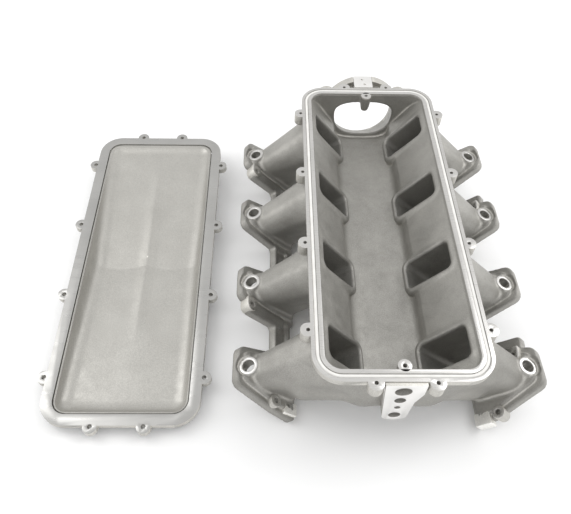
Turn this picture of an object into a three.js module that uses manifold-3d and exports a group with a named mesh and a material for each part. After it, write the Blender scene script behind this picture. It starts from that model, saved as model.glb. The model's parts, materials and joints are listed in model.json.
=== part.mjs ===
// Two-piece cast intake manifold for a V8 engine: an open plenum base with eight runners, and its lid,
// which lies upside down beside the base. Millimetres, +Z up, +Y towards the throttle end.
import * as THREE from 'three';
import { mergeVertices } from 'three/addons/utils/BufferGeometryUtils.js';
import Module from 'manifold-3d';

const wasm = await Module();
wasm.setup();

// ---- Driving dimensions ------------------------------------------------------------------------
const RIM_HEIGHT = 135;            // rim face of the base above the floor
const RIM_HALF_WIDTH = 90;         // outer edge of the rim
const RIM_HALF_LENGTH = 224;
const RIM_BAND = 13;               // width of the machined face
const RIM_THICKNESS = 8;
const RIM_CORNER = 30;             // outer corner radius
const CAST_WALL = 6;               // wall of the plenum and the runners
const END_WALL = 7;

const GROOVE_INSET = 4;            // from the rim's outer edge to the seal groove
const GROOVE_WIDTH = 4.4;
const GROOVE_DEPTH = 3;
const SEAL_SIDE_GAP = 0.2;
const SEAL_TOP_GAP = 0.1;

const EAR_RADIUS = 8;
const EAR_HEIGHT = 14;
const EAR_OFFSET = 2.3;            // the ear's centre outside the rim's edge, on the long sides
const END_EAR_OFFSET = 1.2;        // the same, on the short sides
const END_EAR_HALF_PITCH = 29.4;
const TAPPED_RADIUS = 2.1;         // lid screws are M5
const CLEARANCE_RADIUS = 2.7;
const TAPPED_DEPTH = 12;

const BORE_PITCH = 111.76;         // cylinder spacing of the engine
const CYLINDERS_PER_BANK = 4;
const RUNNER_SHIFT = -3;           // middle of the runner row along Y

const SLOPE_TOP_DEPTH = 3;         // below the rim face, where the sloping side walls start
const SLOPE_EDGE_DEPTH = 53;       // where they end in an edge above the floor
const SLOPE_EDGE_X = 42;
const FLOOR_HALF_WIDTH = 40;       // the floor is a flattened oval in section
const FLOOR_SIDE_DEPTH = 60;
const FLOOR_DEPTH = 78;
const FLOOR_STEPS = 8;
const LIP_RISE = 1.2;              // the runners' lips stand this far in front of the sloping walls
const MIDDLE_STRIP = 22;           // half the width of the floor between the two rows of mouths

const HEAD_ANGLE = THREE.MathUtils.degToRad(43);  // mating faces above horizontal
const FOOT_X = 110;                // where a mating face reaches the floor
const FLANGE_LENGTH = 86;          // up the slope
const FLANGE_THICKNESS = 11;
const FLANGE_TOP_WIDTH = 46;
const FLANGE_FOOT_WIDTH = 66;
const END_FOOT_REACH = 18;         // extra width of the two rear feet
const RAIL_START = 18;             // rail between flanges, up the slope
const RAIL_WIDTH = 26;

const PORT_WIDTH = 29;
const PORT_CORNER = 8;
const PORT_START = 8;              // head port, up the slope
const PORT_LENGTH = 55;
const MOUTH_START = -6;            // runner mouth in the plenum, in the same direction
const MOUTH_LENGTH = 62;
const MOUTH_WIDTH = 33;
const MOUTH_LEVEL = 108;           // above the mating face
const RUNNER_CROWN = 20;           // corner radius of a runner's outer shape

const INJECTOR_X = 154.7;
const INJECTOR_DEPTH = 73;         // below the rim face
const INJECTOR_TILT = THREE.MathUtils.degToRad(15);
const INJECTOR_BOSS_RADIUS = 11;
const INJECTOR_BORE_RADIUS = 6.6;
const INJECTOR_BOSS_HEIGHT = 13;
const INJECTOR_BORE_LENGTH = 22;

const LUG_RADIUS = 7.5;            // threaded lugs beside the flanges
const LUG_LENGTH = 16;
const LUG_PLACE = 71;              // up the slope
const LUG_REACH = 33;              // from the middle of its runner
const LUG_HEIGHT = 14;
const LUG_ROWS = [                 // bank, row and side along Y
  ['left', 0, -1],
  ['left', 2, -1],
  ['right', 1, 1],
  ['right', 3, 1],
];
const FOOT_BOSS_PLACE = 28;        // bolt boss and rest pad on each rear foot
const FOOT_BOSS_RADIUS = 7.5;
const FOOT_BOSS_HEIGHT = 6;
const FOOT_PAD_PLACE = 9;
const FOOT_PAD_LENGTH = 14;
const FOOT_PAD_WIDTH = 17;
const FOOT_REACH = -36;            // both, from the middle of the last runner
const INNER_BOSS_RADIUS = 7;
const INNER_BOSS_HEIGHT = 20;
const INNER_BOSS_OVERHANG = 4;     // its middle, from the end wall

const BORE_RADIUS = 45;            // throttle bore at its flange
const BORE_DEPTH = 54;             // its middle, below the rim face
const THROAT_HALF_WIDTH = 41;      // opening in the plenum's end wall
const THROAT_HALF_HEIGHT = 28;
const THROAT_DEPTH = 43;
const THROTTLE_REACH = 26;          // from the rim's end to the throttle face
const THROTTLE_FACE_Y = RIM_HALF_LENGTH + THROTTLE_REACH;
const THROTTLE_FLANGE_THICKNESS = 12;
const THROTTLE_FLANGE_RADIUS = 56;
const THROTTLE_BOLT_X = 52;
const THROTTLE_BOLT_Z = 26;
const THROTTLE_LUG_RADIUS = 12;
const THROTTLE_BOLT_RADIUS = 2.9;
const SENSOR_PAD_WIDTH = 26;
const SENSOR_PAD_MIDDLE = -2;
const SENSOR_PAD_RISE = 1;
const SENSOR_PAD_THICKNESS = 9;

const BLOCK_REACH = 4;              // from the rim's end to the face of the rear port block
const BLOCK_FACE_Y = RIM_HALF_LENGTH + BLOCK_REACH;
const BLOCK_TOP_DEPTH = 1;
const BLOCK_BOTTOM_DEPTH = 84;
const BLOCK_PORTS = [              // radius and depth below the rim face
  [8.4, 14.6],
  [5.8, 34.8],
  [3.1, 51.9],
  [6.3, 70.7],
];
const BLOCK_PORT_X = -1.4;
const BLOCK_PORT_LENGTH = 8;
const BLOCK_OUTLINE = {            // half widths and depths of the block's tapering face
  left: 20.5,
  right: 20,
  shoulderDepth: 21,               // the right side steps in below this depth
  waist: 14,
  waistDepth: 40,
  footLeft: -14,
  footRight: 12,
  footDepth: 75,
};

const LID_GAP = 0.4;               // between lid and rim when the lid is on
const LID_DISTANCE = 299.4;        // between the middles of the base and of the lid beside it
const LID_MIDDLE_DEPTH = 27.4;     // outer depth of the lid at its middle
const LID_TAPER = THREE.MathUtils.degToRad(2.5);  // the roof gets deeper from the rear end
const LID_DEEPEST_Y = 8;           // to here, and then rises to the throttle end
const LID_END_DEPTH = 8;
const LID_WALL = 5;
const LID_ROOF = 5;
const LID_DRAFT = 0.33;            // how far the walls lean in for each unit of depth
const LID_LIP_WIDTH = 2;           // lip of the lid's casting inside its machined rim
const LID_LIP_DEPTH = 1;

const CAST_GAP = 0.3;              // between castings' regions that meet on a slant
const ARC_STEPS = 4;               // straight pieces in each rounded corner
const RUNNER_STEPS = 3;
const HOLE_SIDES = 8;
const FAR = 400;                   // beyond the whole object, for cutting shapes

// ---- Finishes ----------------------------------------------------------------------------------
const FINISHES = {
  cast: { color: 0x9b9994, roughness: 0.62, metalness: 0.85 },
  machined: { color: 0xd8d6d2, roughness: 0.28, metalness: 1.0 },
  seal: { color: 0xe9e7e2, roughness: 0.55, metalness: 0.0 },
};

function finish(name) {
  return new THREE.MeshStandardMaterial(FINISHES[name]);
}

// ---- Solids ------------------------------------------------------------------------------------
function solid(geometry) {
  const bare = geometry.clone();
  bare.deleteAttribute('normal');
  bare.deleteAttribute('uv');
  const merged = mergeVertices(bare, 1e-4);
  const triVerts = new Uint32Array(merged.index.array);
  const vertProperties = new Float32Array(merged.attributes.position.array);
  return new wasm.Manifold(new wasm.Mesh({ numProp: 3, vertProperties, triVerts }));
}

function addPart(group, name, body, finishName) {
  const data = body.getMesh();
  const geometry = new THREE.BufferGeometry();
  geometry.setAttribute('position', new THREE.BufferAttribute(new Float32Array(data.vertProperties), 3));
  geometry.setIndex(new THREE.BufferAttribute(new Uint32Array(data.triVerts), 1));
  geometry.computeVertexNormals();
  const part = new THREE.Mesh(geometry, finish(finishName));
  part.name = name;
  group.add(part);
}

function cutAll(body, tools) {
  return tools.reduce((rest, tool) => rest.subtract(tool), body);
}

// Drops the slivers that a cut leaves behind.
function largestPiece(body) {
  return body.decompose().reduce((best, next) => (next.volume() > best.volume() ? next : best));
}

function joinAll(bodies) {
  return bodies.reduce((all, next) => all.add(next));
}

// Mirrors a geometry across the middle plane and keeps its faces pointing out.
function mirrored(geometry) {
  const copy = geometry.index ? geometry.toNonIndexed() : geometry.clone();
  copy.scale(-1, 1, 1);
  const place = copy.attributes.position;
  const corner = new THREE.Vector3();
  const other = new THREE.Vector3();
  for (let i = 0; i < place.count; i += 3) {
    corner.fromBufferAttribute(place, i);
    other.fromBufferAttribute(place, i + 1);
    place.setXYZ(i, other.x, other.y, other.z);
    place.setXYZ(i + 1, corner.x, corner.y, corner.z);
  }
  return copy;
}

// ---- Outlines ----------------------------------------------------------------------------------
function roundedOutline(halfX, halfY, radius, Kind = THREE.Shape) {
  const outline = new Kind();
  const innerX = halfX - radius;
  const innerY = halfY - radius;
  outline.moveTo(halfX, -innerY);
  outline.lineTo(halfX, innerY);
  outline.absarc(innerX, innerY, radius, 0, Math.PI / 2, false);
  outline.absarc(-innerX, innerY, radius, Math.PI / 2, Math.PI, false);
  outline.absarc(-innerX, -innerY, radius, Math.PI, Math.PI * 1.5, false);
  outline.absarc(innerX, -innerY, radius, Math.PI * 1.5, Math.PI * 2, false);
  return outline;
}

function extrudeUp(shape, bottom, top, curveSegments = ARC_STEPS) {
  const depth = top - bottom;
  const geometry = new THREE.ExtrudeGeometry(shape, { depth, bevelEnabled: false, curveSegments });
  return geometry.translate(0, 0, bottom);
}

// An outline drawn in X and Z, carried from Y = start to Y = end.
function extrudeBack(shape, start, end) {
  return extrudeUp(shape, 0, end - start).rotateX(Math.PI / 2).translate(0, end, 0);
}

function polygon(points) {
  return new THREE.Shape(points.map(([x, y]) => new THREE.Vector2(x, y)));
}

function uprightCylinder(radius, x, y, bottom, top, sides = 12) {
  const geometry = new THREE.CylinderGeometry(radius, radius, top - bottom, sides);
  return geometry.rotateX(Math.PI / 2).translate(x, y, (top + bottom) / 2);
}

function cylinderAlongY(radius, x, z, start, end, sides = 32) {
  const geometry = new THREE.CylinderGeometry(radius, radius, end - start, sides);
  return geometry.translate(x, (start + end) / 2, z);
}

function box(x0, x1, y0, y1, z0, z1) {
  const geometry = new THREE.BoxGeometry(x1 - x0, y1 - y0, z1 - z0);
  return geometry.translate((x0 + x1) / 2, (y0 + y1) / 2, (z0 + z1) / 2);
}

// ---- Lid screw pattern, shared by the rim and the lid ---------------------------------------------
function screwPlaces() {
  const places = [];
  for (let row = 0; row < CYLINDERS_PER_BANK; row += 1) {
    const y = (row - (CYLINDERS_PER_BANK - 1) / 2) * BORE_PITCH;
    places.push([RIM_HALF_WIDTH + EAR_OFFSET, y], [-RIM_HALF_WIDTH - EAR_OFFSET, y]);
  }
  for (const side of [-1, 1]) {
    const y = side * (RIM_HALF_LENGTH + END_EAR_OFFSET);
    places.push([END_EAR_HALF_PITCH, y], [-END_EAR_HALF_PITCH, y]);
  }
  return places;
}

function rimRing(bottom, top) {
  const shape = roundedOutline(RIM_HALF_WIDTH, RIM_HALF_LENGTH, RIM_CORNER);
  const innerCorner = RIM_CORNER - RIM_BAND;
  const halfX = RIM_HALF_WIDTH - RIM_BAND;
  const halfY = RIM_HALF_LENGTH - RIM_BAND;
  shape.holes.push(roundedOutline(halfX, halfY, innerCorner, THREE.Path));
  return solid(extrudeUp(shape, bottom, top));
}

function rimOpening(bottom, top) {
  const halfX = RIM_HALF_WIDTH - RIM_BAND;
  const halfY = RIM_HALF_LENGTH - RIM_BAND;
  return solid(extrudeUp(roundedOutline(halfX, halfY, RIM_CORNER - RIM_BAND), bottom, top));
}

function bandRing(inset, width, bottom, top) {
  const outlineAt = (gap, Kind) => (
    roundedOutline(RIM_HALF_WIDTH - gap, RIM_HALF_LENGTH - gap, RIM_CORNER - gap, Kind));
  const shape = outlineAt(inset);
  shape.holes.push(outlineAt(inset + width, THREE.Path));
  return solid(extrudeUp(shape, bottom, top));
}

// ---- Plenum ------------------------------------------------------------------------------------
const INNER_HALF_WIDTH = RIM_HALF_WIDTH - RIM_BAND;
const INNER_HALF_LENGTH = RIM_HALF_LENGTH - RIM_BAND;
const END_FACE = INNER_HALF_LENGTH + END_WALL;
const RIM_UNDERSIDE = RIM_HEIGHT - RIM_THICKNESS;

const SLOPE_RUN = (INNER_HALF_WIDTH - SLOPE_EDGE_X) / (SLOPE_EDGE_DEPTH - SLOPE_TOP_DEPTH);

function level(depth) {
  return RIM_HEIGHT - depth;
}

function slopeX(depth) {
  return INNER_HALF_WIDTH - SLOPE_RUN * (depth - SLOPE_TOP_DEPTH);
}

// The trough's section from its right side to its left: slope, edge, floor, edge, slope.
function troughLine(top) {
  const right = [
    [INNER_HALF_WIDTH, top],
    [INNER_HALF_WIDTH, level(SLOPE_TOP_DEPTH)],
    [SLOPE_EDGE_X, level(SLOPE_EDGE_DEPTH)],
  ];
  const floor = [];
  for (let i = 0; i <= FLOOR_STEPS; i += 1) {
    const turn = Math.PI * i / FLOOR_STEPS;
    const across = Math.sign(Math.cos(turn)) * Math.abs(Math.cos(turn)) ** (2 / 3);
    const down = Math.sin(turn) ** (2 / 3);
    const depth = FLOOR_SIDE_DEPTH + (FLOOR_DEPTH - FLOOR_SIDE_DEPTH) * down;
    floor.push([FLOOR_HALF_WIDTH * across, level(depth)]);
  }
  const left = right.map(([x, z]) => [-x, z]).reverse();
  return [...right, ...floor, ...left];
}

// Moves every point of an open line square to the line, away from the trough.
function grownLine(points, growth) {
  const normals = points.slice(1).map(([x, z], i) => {
    const run = new THREE.Vector2(x - points[i][0], z - points[i][1]).normalize();
    return new THREE.Vector2(-run.y, run.x);
  });
  return points.map(([x, z], i) => {
    const before = normals[Math.max(i - 1, 0)];
    const after = normals[Math.min(i, normals.length - 1)];
    const reach = growth / (1 + before.dot(after));
    return [x + reach * (before.x + after.x), z + reach * (before.y + after.y)];
  });
}

function troughOutline(growth, top) {
  return polygon(grownLine(troughLine(top), growth));
}

function plenumOuter(growth) {
  const outline = troughOutline(CAST_WALL + growth, RIM_HEIGHT);
  const trough = solid(extrudeBack(outline, -END_FACE - growth, END_FACE + growth));
  const inset = RIM_HALF_LENGTH - END_FACE - growth;
  const plan = roundedOutline(RIM_HALF_WIDTH - inset, END_FACE + growth, RIM_CORNER - inset);
  return trough.intersect(solid(extrudeUp(plan, 0, RIM_UNDERSIDE)));
}

function plenumHollow() {
  const outline = troughOutline(0, RIM_HEIGHT + 1);
  const trough = solid(extrudeBack(outline, -INNER_HALF_LENGTH, INNER_HALF_LENGTH));
  return trough.intersect(rimOpening(0, RIM_HEIGHT + 1));
}

// Everything behind the plane of one bank's lips, which is parallel to the sloping wall.
function behindLips() {
  const bottom = FLOOR_DEPTH + CAST_WALL;
  const outline = polygon([
    [INNER_HALF_WIDTH - LIP_RISE, level(SLOPE_TOP_DEPTH)],
    [slopeX(bottom) - LIP_RISE, level(bottom)],
    [FAR, level(bottom)],
    [FAR, level(SLOPE_TOP_DEPTH)],
  ]);
  return extrudeBack(outline, -FAR, FAR);
}

// ---- Head side: everything in a bank's own frame --------------------------------------------------
// In a bank's frame X runs up the slope from the floor, Z is the height above the mating face.
function toBank(geometry) {
  return geometry.rotateY(-HEAD_ANGLE).translate(FOOT_X, 0, 0);
}

// A closed tube-like body whose rounded section slides, shrinks and widens from one level to another.
function lofted(start, end, halfWidth, corner, levels) {
  const geometry = extrudeUp(roundedOutline(1, 1, 0.5), 0, 1, RUNNER_STEPS);
  const place = geometry.attributes.position;
  const [fromLevel, toLevel] = levels;
  const template = roundedTemplate(halfWidth, corner, (start[1] + end[1]) / 4);
  for (let i = 0; i < place.count; i += 1) {
    const share = place.getZ(i);
    const [u, y] = template(place.getX(i), place.getY(i));
    const first = THREE.MathUtils.lerp(start[0], end[0], share);
    const length = THREE.MathUtils.lerp(start[1], end[1], share);
    const level = THREE.MathUtils.lerp(fromLevel, toLevel, share);
    place.setXYZ(i, first + length * (u + 1) / 2, y * spreadAt(level), level);
  }
  return geometry;
}

// Turns the unit outline into one with true corner radii: X stays between -1 and 1, Y is in millimetres.
function roundedTemplate(halfWidth, corner, halfLength) {
  const shareX = corner / halfLength;
  const unit = 0.5;
  const fit = (value, inner, reach) => {
    const size = Math.abs(value);
    const flat = reach - inner;
    const moved = size <= unit ? size / unit * flat : flat + (size - unit) / unit * inner;
    return Math.sign(value) * moved;
  };
  return (x, y) => [fit(x, shareX, 1), fit(y, corner, halfWidth)];
}

// How much wider a passage is at a level than at the head's port.
function spreadAt(level) {
  return 1 + (MOUTH_WIDTH / PORT_WIDTH - 1) * level / MOUTH_LEVEL;
}

function spanAt(level, growth) {
  const slide = (MOUTH_START - PORT_START) / MOUTH_LEVEL;
  const shrink = (MOUTH_LENGTH - PORT_LENGTH) / MOUTH_LEVEL;
  return [PORT_START + slide * level - growth, PORT_LENGTH + shrink * level + 2 * growth];
}

function passage(growth, bottom, top) {
  const corner = growth > 0 ? RUNNER_CROWN : PORT_CORNER;
  const halfWidth = PORT_WIDTH / 2 + growth;
  const geometry = lofted(spanAt(bottom, growth), spanAt(top, growth), halfWidth, corner, [bottom, top]);
  return toBank(geometry);
}

const RUNNER_TOP = 135;            // levels above the mating face, past the plenum's wall
const PASSAGE_TOP = 128;
const PASSAGE_BOTTOM = 40;
const FLANGE_CORNER = 10;

// Outline of one head flange with straight scallops: narrow at the injector, wide at its foot.
function flangeOutline(rearReach) {
  const top = FLANGE_TOP_WIDTH / 2;
  const foot = FLANGE_FOOT_WIDTH / 2;
  const shape = new THREE.Shape();
  const corner = FLANGE_CORNER;
  shape.moveTo(0, -foot - rearReach);
  shape.lineTo(RAIL_START + RAIL_WIDTH / 2, -foot - rearReach / 2);
  shape.lineTo(FLANGE_LENGTH - corner, -top);
  shape.quadraticCurveTo(FLANGE_LENGTH, -top, FLANGE_LENGTH, -top + corner);
  shape.lineTo(FLANGE_LENGTH, top - corner);
  shape.quadraticCurveTo(FLANGE_LENGTH, top, FLANGE_LENGTH - corner, top);
  shape.lineTo(RAIL_START + RAIL_WIDTH / 2, foot);
  shape.lineTo(0, foot);
  return shape;
}

function rearReachOf(row) {
  return row === CYLINDERS_PER_BANK - 1 ? END_FOOT_REACH : 0;
}

function runnerY(row) {
  return RUNNER_SHIFT + ((CYLINDERS_PER_BANK - 1) / 2 - row) * BORE_PITCH;
}

function injectorCylinder(radius, bottom, top, y, sides = 16) {
  const geometry = uprightCylinder(radius, 0, 0, bottom, top, sides);
  return geometry.rotateY(INJECTOR_TILT).translate(INJECTOR_X, y, RIM_HEIGHT - INJECTOR_DEPTH);
}

// A bank's part is drawn on the right-hand side and mirrored for the left.
function onSide(side, geometry) {
  return solid(side === 'left' ? mirrored(geometry) : geometry);
}

function addBank(group, side) {
  const shell = plenumOuter(CAST_GAP);
  const aboveRim = solid(box(-FAR, FAR, -FAR, FAR, RIM_UNDERSIDE, FAR));
  const plateTop = FLANGE_THICKNESS;
  for (let row = 0; row < CYLINDERS_PER_BANK; row += 1) {
    const y = runnerY(row);
    const at = (geometry) => onSide(side, geometry.translate(0, y, 0));
    const bore = at(passage(0, -1, RUNNER_TOP + 1));
    const bossFoot = -INJECTOR_BOSS_HEIGHT - CAST_GAP;
    const bossRadius = INJECTOR_BOSS_RADIUS + CAST_GAP;
    const bossSpace = onSide(side, injectorCylinder(bossRadius, bossFoot, FLANGE_LENGTH, y));
    const hole = onSide(side, injectorCylinder(INJECTOR_BORE_RADIUS, -INJECTOR_BORE_LENGTH, 1, y));
    const outer = at(passage(CAST_WALL, plateTop + CAST_GAP, RUNNER_TOP));
    const runner = cutAll(outer, [bore, shell, bossSpace, aboveRim]);
    addPart(group, `runner_${side}_${row + 1}`, largestPiece(runner), 'cast');

    const plate = at(toBank(extrudeUp(flangeOutline(rearReachOf(row)), 0, plateTop)));
    addPart(group, `head_flange_${side}_${row + 1}`, cutAll(plate, [bore, bossSpace, hole]), 'cast');

    const boss = onSide(side, injectorCylinder(INJECTOR_BOSS_RADIUS, -INJECTOR_BOSS_HEIGHT, 0, y));
    addPart(group, `injector_boss_${side}_${row + 1}`, cutAll(boss, [hole, bore]), 'machined');
  }
}

// Rails tie neighbouring flanges together near their feet.
function addRails(group, side) {
  const foot = FLANGE_FOOT_WIDTH / 2;
  for (let row = 0; row + 1 < CYLINDERS_PER_BANK; row += 1) {
    const far = runnerY(row) - foot;
    const near = runnerY(row + 1) + foot;
    const half = RAIL_WIDTH / 2;
    const rail = box(RAIL_START - half, RAIL_START + half, near, far, 0, FLANGE_THICKNESS);
    addPart(group, `flange_rail_${side}_${row + 1}`, onSide(side, toBank(rail)), 'cast');
  }
}

// A lug with a straight top end and a round lower end, beside a flange.
function addLugs(group) {
  for (const [side, row, way] of LUG_ROWS) {
    const outline = new THREE.Shape();
    outline.moveTo(LUG_PLACE - LUG_LENGTH / 2, LUG_RADIUS);
    outline.lineTo(LUG_PLACE - LUG_LENGTH / 2, -LUG_RADIUS);
    outline.lineTo(LUG_PLACE + LUG_LENGTH / 2 - LUG_RADIUS, -LUG_RADIUS);
    outline.absarc(LUG_PLACE + LUG_LENGTH / 2 - LUG_RADIUS, 0, LUG_RADIUS, -Math.PI / 2, Math.PI / 2, false);
    const y = runnerY(row) + way * LUG_REACH;
    const place = (geometry) => onSide(side, toBank(geometry).translate(0, y, 0));
    const lug = place(extrudeUp(outline, 0, LUG_HEIGHT));
    const hole = place(uprightCylinder(TAPPED_RADIUS, LUG_PLACE, 0, 2, LUG_HEIGHT + 1, HOLE_SIDES));
    const plate = toBank(extrudeUp(flangeOutline(rearReachOf(row)), -1, FLANGE_THICKNESS + 1));
    const shoulder = onSide(side, plate.translate(0, runnerY(row) + way * CAST_GAP, 0));
    addPart(group, `rail_lug_${side}_${row + 1}`, cutAll(lug, [hole, shoulder]), 'machined');
  }
}

// The bolt boss and the rest pad on the last flange of a bank.
function addFootFittings(group, side) {
  const y = runnerY(CYLINDERS_PER_BANK - 1) + FOOT_REACH;
  const bottom = FLANGE_THICKNESS + CAST_GAP;
  const top = FLANGE_THICKNESS + FOOT_BOSS_HEIGHT;
  const place = (geometry) => onSide(side, toBank(geometry).translate(0, y, 0));
  const boss = place(uprightCylinder(FOOT_BOSS_RADIUS, FOOT_BOSS_PLACE, 0, bottom, top));
  const hole = place(uprightCylinder(TAPPED_RADIUS, FOOT_BOSS_PLACE, 0, bottom + 1, top + 1, HOLE_SIDES));
  addPart(group, `foot_boss_${side}`, boss.subtract(hole), 'machined');
  const halfX = FOOT_PAD_LENGTH / 2;
  const halfY = FOOT_PAD_WIDTH / 2;
  const pad = box(FOOT_PAD_PLACE - halfX, FOOT_PAD_PLACE + halfX, -halfY, halfY, bottom, top - 1);
  addPart(group, `foot_pad_${side}`, place(pad), 'machined');
}

// ---- Plenum parts ---------------------------------------------------------------------------------
function onEachRunner(geometryOf) {
  const rows = [...Array(CYLINDERS_PER_BANK).keys()];
  return ['left', 'right'].flatMap((side) => (
    rows.map((row) => onSide(side, geometryOf().translate(0, runnerY(row), 0)))));
}

function runnerMouths() {
  return onEachRunner(() => passage(0, PASSAGE_BOTTOM, PASSAGE_TOP));
}

// The runners' ends stand in the trough as tongues with raised lips.
function runnerTongues() {
  const slopes = ['left', 'right'].map((side) => onSide(side, behindLips()));
  const tongues = onEachRunner(() => passage(CAST_WALL, PASSAGE_BOTTOM, PASSAGE_TOP));
  return tongues.map((tongue, i) => tongue.intersect(slopes[i < CYLINDERS_PER_BANK ? 0 : 1]));
}

function addPlenum(group) {
  const hollow = plenumHollow();
  const shell = cutAll(plenumOuter(0).subtract(cutAll(hollow, runnerTongues())), runnerMouths());
  const limit = INNER_HALF_LENGTH - (RIM_CORNER - RIM_BAND);
  const wide = RIM_HALF_WIDTH + 1;
  const take = (x0, x1, y0, y1) => largestPiece(shell.intersect(solid(box(x0, x1, y0, y1, 0, RIM_HEIGHT))));
  addPart(group, 'plenum_floor', take(-MIDDLE_STRIP, MIDDLE_STRIP, -limit, limit), 'cast');
  for (let row = 0; row < CYLINDERS_PER_BANK; row += 1) {
    const far = row === 0 ? limit : runnerY(row) + BORE_PITCH / 2;
    const near = row === CYLINDERS_PER_BANK - 1 ? -limit : runnerY(row) - BORE_PITCH / 2;
    addPart(group, `plenum_wall_left_${row + 1}`, take(-wide, -MIDDLE_STRIP, near, far), 'cast');
    addPart(group, `plenum_wall_right_${row + 1}`, take(MIDDLE_STRIP, wide, near, far), 'cast');
  }
  addPart(group, 'plenum_end_rear', take(-wide, wide, -END_FACE - 1, -limit), 'cast');
  const throttleEnd = take(-wide, wide, limit, END_FACE + 1).subtract(throat(0));
  addPart(group, 'plenum_end_throttle', throttleEnd, 'cast');
}

function addRim(group) {
  const top = RIM_HEIGHT;
  const ears = screwPlaces().map(([x, y]) => solid(uprightCylinder(EAR_RADIUS, x, y, top - EAR_HEIGHT, top)));
  const opening = rimOpening(0, top + 1);
  const ring = joinAll([rimRing(top - RIM_THICKNESS, top), ...ears]);
  const body = cutAll(ring, [opening, plenumOuter(CAST_GAP)]);
  const holes = screwPlaces().map(([x, y]) => (
    solid(uprightCylinder(TAPPED_RADIUS, x, y, top - TAPPED_DEPTH, top + 1, HOLE_SIDES))));
  const groove = bandRing(GROOVE_INSET, GROOVE_WIDTH, top - GROOVE_DEPTH, top + 1);
  addPart(group, 'plenum_rim', cutAll(body, [...holes, groove]), 'machined');

  const sealInset = GROOVE_INSET + SEAL_SIDE_GAP;
  const sealWidth = GROOVE_WIDTH - 2 * SEAL_SIDE_GAP;
  const seal = bandRing(sealInset, sealWidth, top - GROOVE_DEPTH, top - SEAL_TOP_GAP);
  addPart(group, 'rim_seal', seal, 'seal');
}

// Half-round screw bosses on the inner faces of the end walls.
function addInnerBosses(group) {
  for (const [name, way] of [['rear', -1], ['throttle', 1]]) {
    const y = way * (INNER_HALF_LENGTH - INNER_BOSS_OVERHANG);
    const low = level(INNER_BOSS_HEIGHT);
    const column = solid(uprightCylinder(INNER_BOSS_RADIUS, 0, y, low, RIM_HEIGHT));
    const hole = solid(uprightCylinder(TAPPED_RADIUS, 0, y, level(TAPPED_DEPTH), RIM_HEIGHT + 1, HOLE_SIDES));
    const reach = INNER_HALF_LENGTH - CAST_GAP;
    const room = solid(box(-INNER_HALF_WIDTH, INNER_HALF_WIDTH, -reach, reach, low - 1, RIM_HEIGHT + 1));
    addPart(group, `inner_boss_${name}`, column.intersect(room).subtract(hole), 'machined');
  }
}

// ---- Throttle end ---------------------------------------------------------------------------------
function throat(growth) {
  const geometry = extrudeUp(circleOutline(1), 0, 1);
  const place = geometry.attributes.position;
  const start = INNER_HALF_LENGTH - 2;
  const end = THROTTLE_FACE_Y + 2;
  for (let i = 0; i < place.count; i += 1) {
    const share = place.getZ(i);
    const y = THREE.MathUtils.lerp(start, end, share);
    const part = THREE.MathUtils.clamp((y - INNER_HALF_LENGTH) / (THROTTLE_FACE_Y - INNER_HALF_LENGTH), 0, 1);
    const halfX = THREE.MathUtils.lerp(THROAT_HALF_WIDTH, BORE_RADIUS, part) + growth;
    const halfZ = THREE.MathUtils.lerp(THROAT_HALF_HEIGHT, BORE_RADIUS, part) + growth;
    const depth = THREE.MathUtils.lerp(THROAT_DEPTH, BORE_DEPTH, part);
    place.setXYZ(i, -place.getX(i) * halfX, y, RIM_HEIGHT - depth + place.getY(i) * halfZ);
  }
  return solid(geometry);
}

function circleOutline(radius) {
  const shape = new THREE.Shape();
  const sides = 24;
  for (let i = 0; i < sides; i += 1) {
    const turn = i / sides * Math.PI * 2;
    const method = i === 0 ? 'moveTo' : 'lineTo';
    shape[method](radius * Math.cos(turn), radius * Math.sin(turn));
  }
  return shape;
}

function addThrottleEnd(group) {
  const middle = RIM_HEIGHT - BORE_DEPTH;
  const flangeStart = THROTTLE_FACE_Y - THROTTLE_FLANGE_THICKNESS;
  const bore = throat(0);
  const between = (y0, y1) => solid(box(-FAR, FAR, y0, y1, 0, FAR));
  const padHalf = SENSOR_PAD_WIDTH / 2;
  const padTop = RIM_HEIGHT + SENSOR_PAD_RISE;
  const padBox = (growth, top) => solid(box(
    SENSOR_PAD_MIDDLE - padHalf - growth, SENSOR_PAD_MIDDLE + padHalf + growth,
    RIM_HALF_LENGTH + CAST_GAP - growth, THROTTLE_FACE_Y, padTop - SENSOR_PAD_THICKNESS, top));
  const padSpace = padBox(CAST_GAP, FAR);

  const neckRing = throat(CAST_WALL).intersect(between(END_FACE, flangeStart));
  const rimEnd = RIM_HALF_LENGTH + CAST_GAP;
  const rimSpace = solid(box(-FAR, FAR, END_FACE - 1, rimEnd, RIM_UNDERSIDE - CAST_GAP, FAR));
  const earSpace = screwPlaces().map(([x, y]) => (
    solid(uprightCylinder(EAR_RADIUS + CAST_GAP, x, y, RIM_HEIGHT - EAR_HEIGHT - CAST_GAP, FAR))));
  const neck = cutAll(neckRing, [bore, rimSpace, ...earSpace, padSpace]);
  addPart(group, 'throttle_neck', largestPiece(neck), 'cast');

  const disc = solid(cylinderAlongY(THROTTLE_FLANGE_RADIUS, 0, middle, flangeStart, THROTTLE_FACE_Y, 32));
  const corners = [[1, 1], [-1, 1], [-1, -1], [1, -1]];
  const atCorners = (radius, start, end, sides) => corners.map(([sx, sz]) => solid(
    cylinderAlongY(radius, sx * THROTTLE_BOLT_X, middle + sz * THROTTLE_BOLT_Z, start, end, sides)));
  const lugs = atCorners(THROTTLE_LUG_RADIUS, flangeStart, THROTTLE_FACE_Y, 12);
  const holes = atCorners(THROTTLE_BOLT_RADIUS, flangeStart - 1, THROTTLE_FACE_Y + 1, HOLE_SIDES);
  const flange = cutAll(joinAll([disc, ...lugs]), [bore, ...holes, padSpace]);
  addPart(group, 'throttle_flange', flange, 'machined');

  addPart(group, 'throttle_sensor_pad', padBox(0, padTop).subtract(bore), 'machined');
}

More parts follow.
